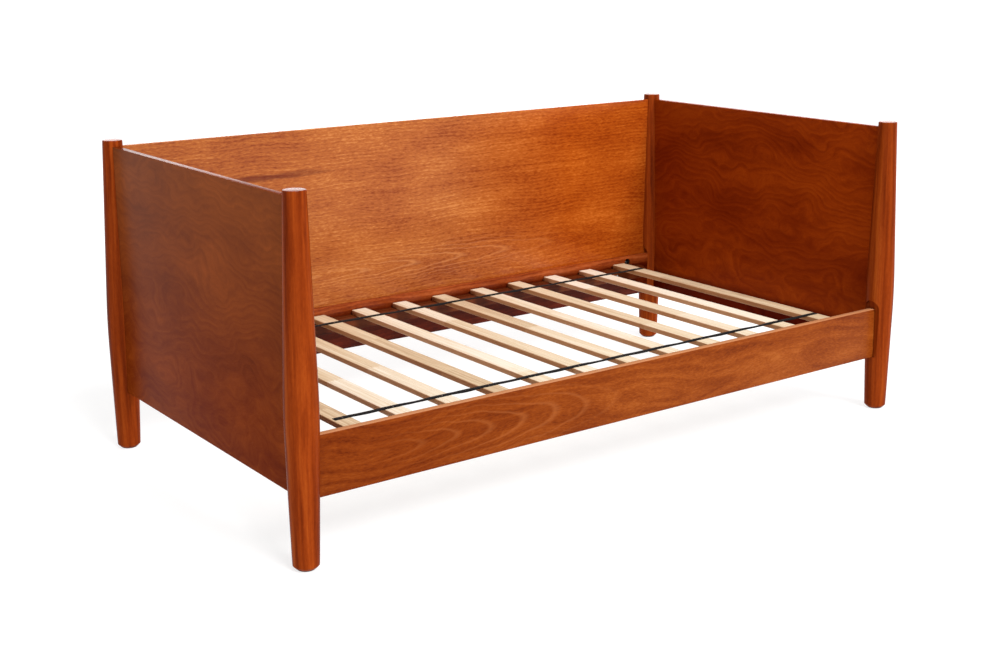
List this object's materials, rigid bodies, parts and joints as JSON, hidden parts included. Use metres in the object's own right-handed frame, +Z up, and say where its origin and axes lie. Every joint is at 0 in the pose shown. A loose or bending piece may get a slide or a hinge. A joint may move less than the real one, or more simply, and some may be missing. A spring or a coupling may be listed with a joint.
{
  "type": "daybed",
  "caption": "Low wooden daybed with round tapered posts, plain back and end panels, an open front rail and a loose slatted base tied by two straps.",
  "frame": {"origin": "on the floor, under the middle of the bed", "axes": "+X along the bed's length, +Y towards its back panel, -Y towards its open front, +Z up"},
  "size_m": [2.0408, 1.1088, 0.871],
  "materials": {
    "lacquered_wood": "orange-brown stained wood and wood veneer under semi-gloss lacquer",
    "slat_pine": "planed, unfinished, finger-jointed softwood",
    "strap_webbing": "woven black polypropylene webbing",
    "glide_plastic": "black moulded plastic",
    "zinc_steel": "zinc-plated steel",
    "black_steel": "black oxide steel"
  },
  "bodies": {
    "frame": {"back_panel": "lacquered_wood", "back_rail": "lacquered_wood", "cleat_screw_back_left": "zinc_steel", "cleat_screw_back_middle": "zinc_steel", "cleat_screw_back_right": "zinc_steel", "cleat_screw_front_left": "zinc_steel", "cleat_screw_front_middle": "zinc_steel", "cleat_screw_front_right": "zinc_steel", "end_panel_left": "lacquered_wood", "end_panel_right": "lacquered_wood", "foot_glide_back_left": "glide_plastic", "foot_glide_back_right": "glide_plastic", "foot_glide_front_left": "glide_plastic", "foot_glide_front_right": "glide_plastic", "front_rail": "lacquered_wood", "half_moon_washer_back_left_lower": "black_steel", "half_moon_washer_back_left_upper": "black_steel", "half_moon_washer_back_right_lower": "black_steel", "half_moon_washer_back_right_upper": "black_steel", "half_moon_washer_front_left_lower": "black_steel", "half_moon_washer_front_left_upper": "black_steel", "half_moon_washer_front_right_lower": "black_steel", "half_moon_washer_front_right_upper": "black_steel", "nut_back_left_lower": "black_steel", "nut_back_left_upper": "black_steel", "nut_back_right_lower": "black_steel", "nut_back_right_upper": "black_steel", "nut_front_left_lower": "black_steel", "nut_front_left_upper": "black_steel", "nut_front_right_lower": "black_steel", "nut_front_right_upper": "black_steel", "post_back_left": "lacquered_wood", "post_back_right": "lacquered_wood", "post_front_left": "lacquered_wood", "post_front_right": "lacquered_wood", "slat_cleat_back": "lacquered_wood", "slat_cleat_front": "lacquered_wood", "stud_back_left_lower": "zinc_steel", "stud_back_left_upper": "zinc_steel", "stud_back_right_lower": "zinc_steel", "stud_back_right_upper": "zinc_steel", "stud_front_left_lower": "zinc_steel", "stud_front_left_upper": "zinc_steel", "stud_front_right_lower": "zinc_steel", "stud_front_right_upper": "zinc_steel"},
    "slat_deck": {"slat_01": "slat_pine", "slat_02": "slat_pine", "slat_03": "slat_pine", "slat_04": "slat_pine", "slat_05": "slat_pine", "slat_06": "slat_pine", "slat_07": "slat_pine", "slat_08": "slat_pine", "slat_09": "slat_pine", "slat_10": "slat_pine", "slat_11": "slat_pine", "slat_12": "slat_pine", "slat_strap_back": "strap_webbing", "slat_strap_front": "strap_webbing"}
  },
  "joints": [
    {"name": "slat_deck_lift", "type": "slide", "parent": "frame", "child": "slat_deck", "axis": [0, 0, 1], "range_m": [0, 0.65]}
  ]
}
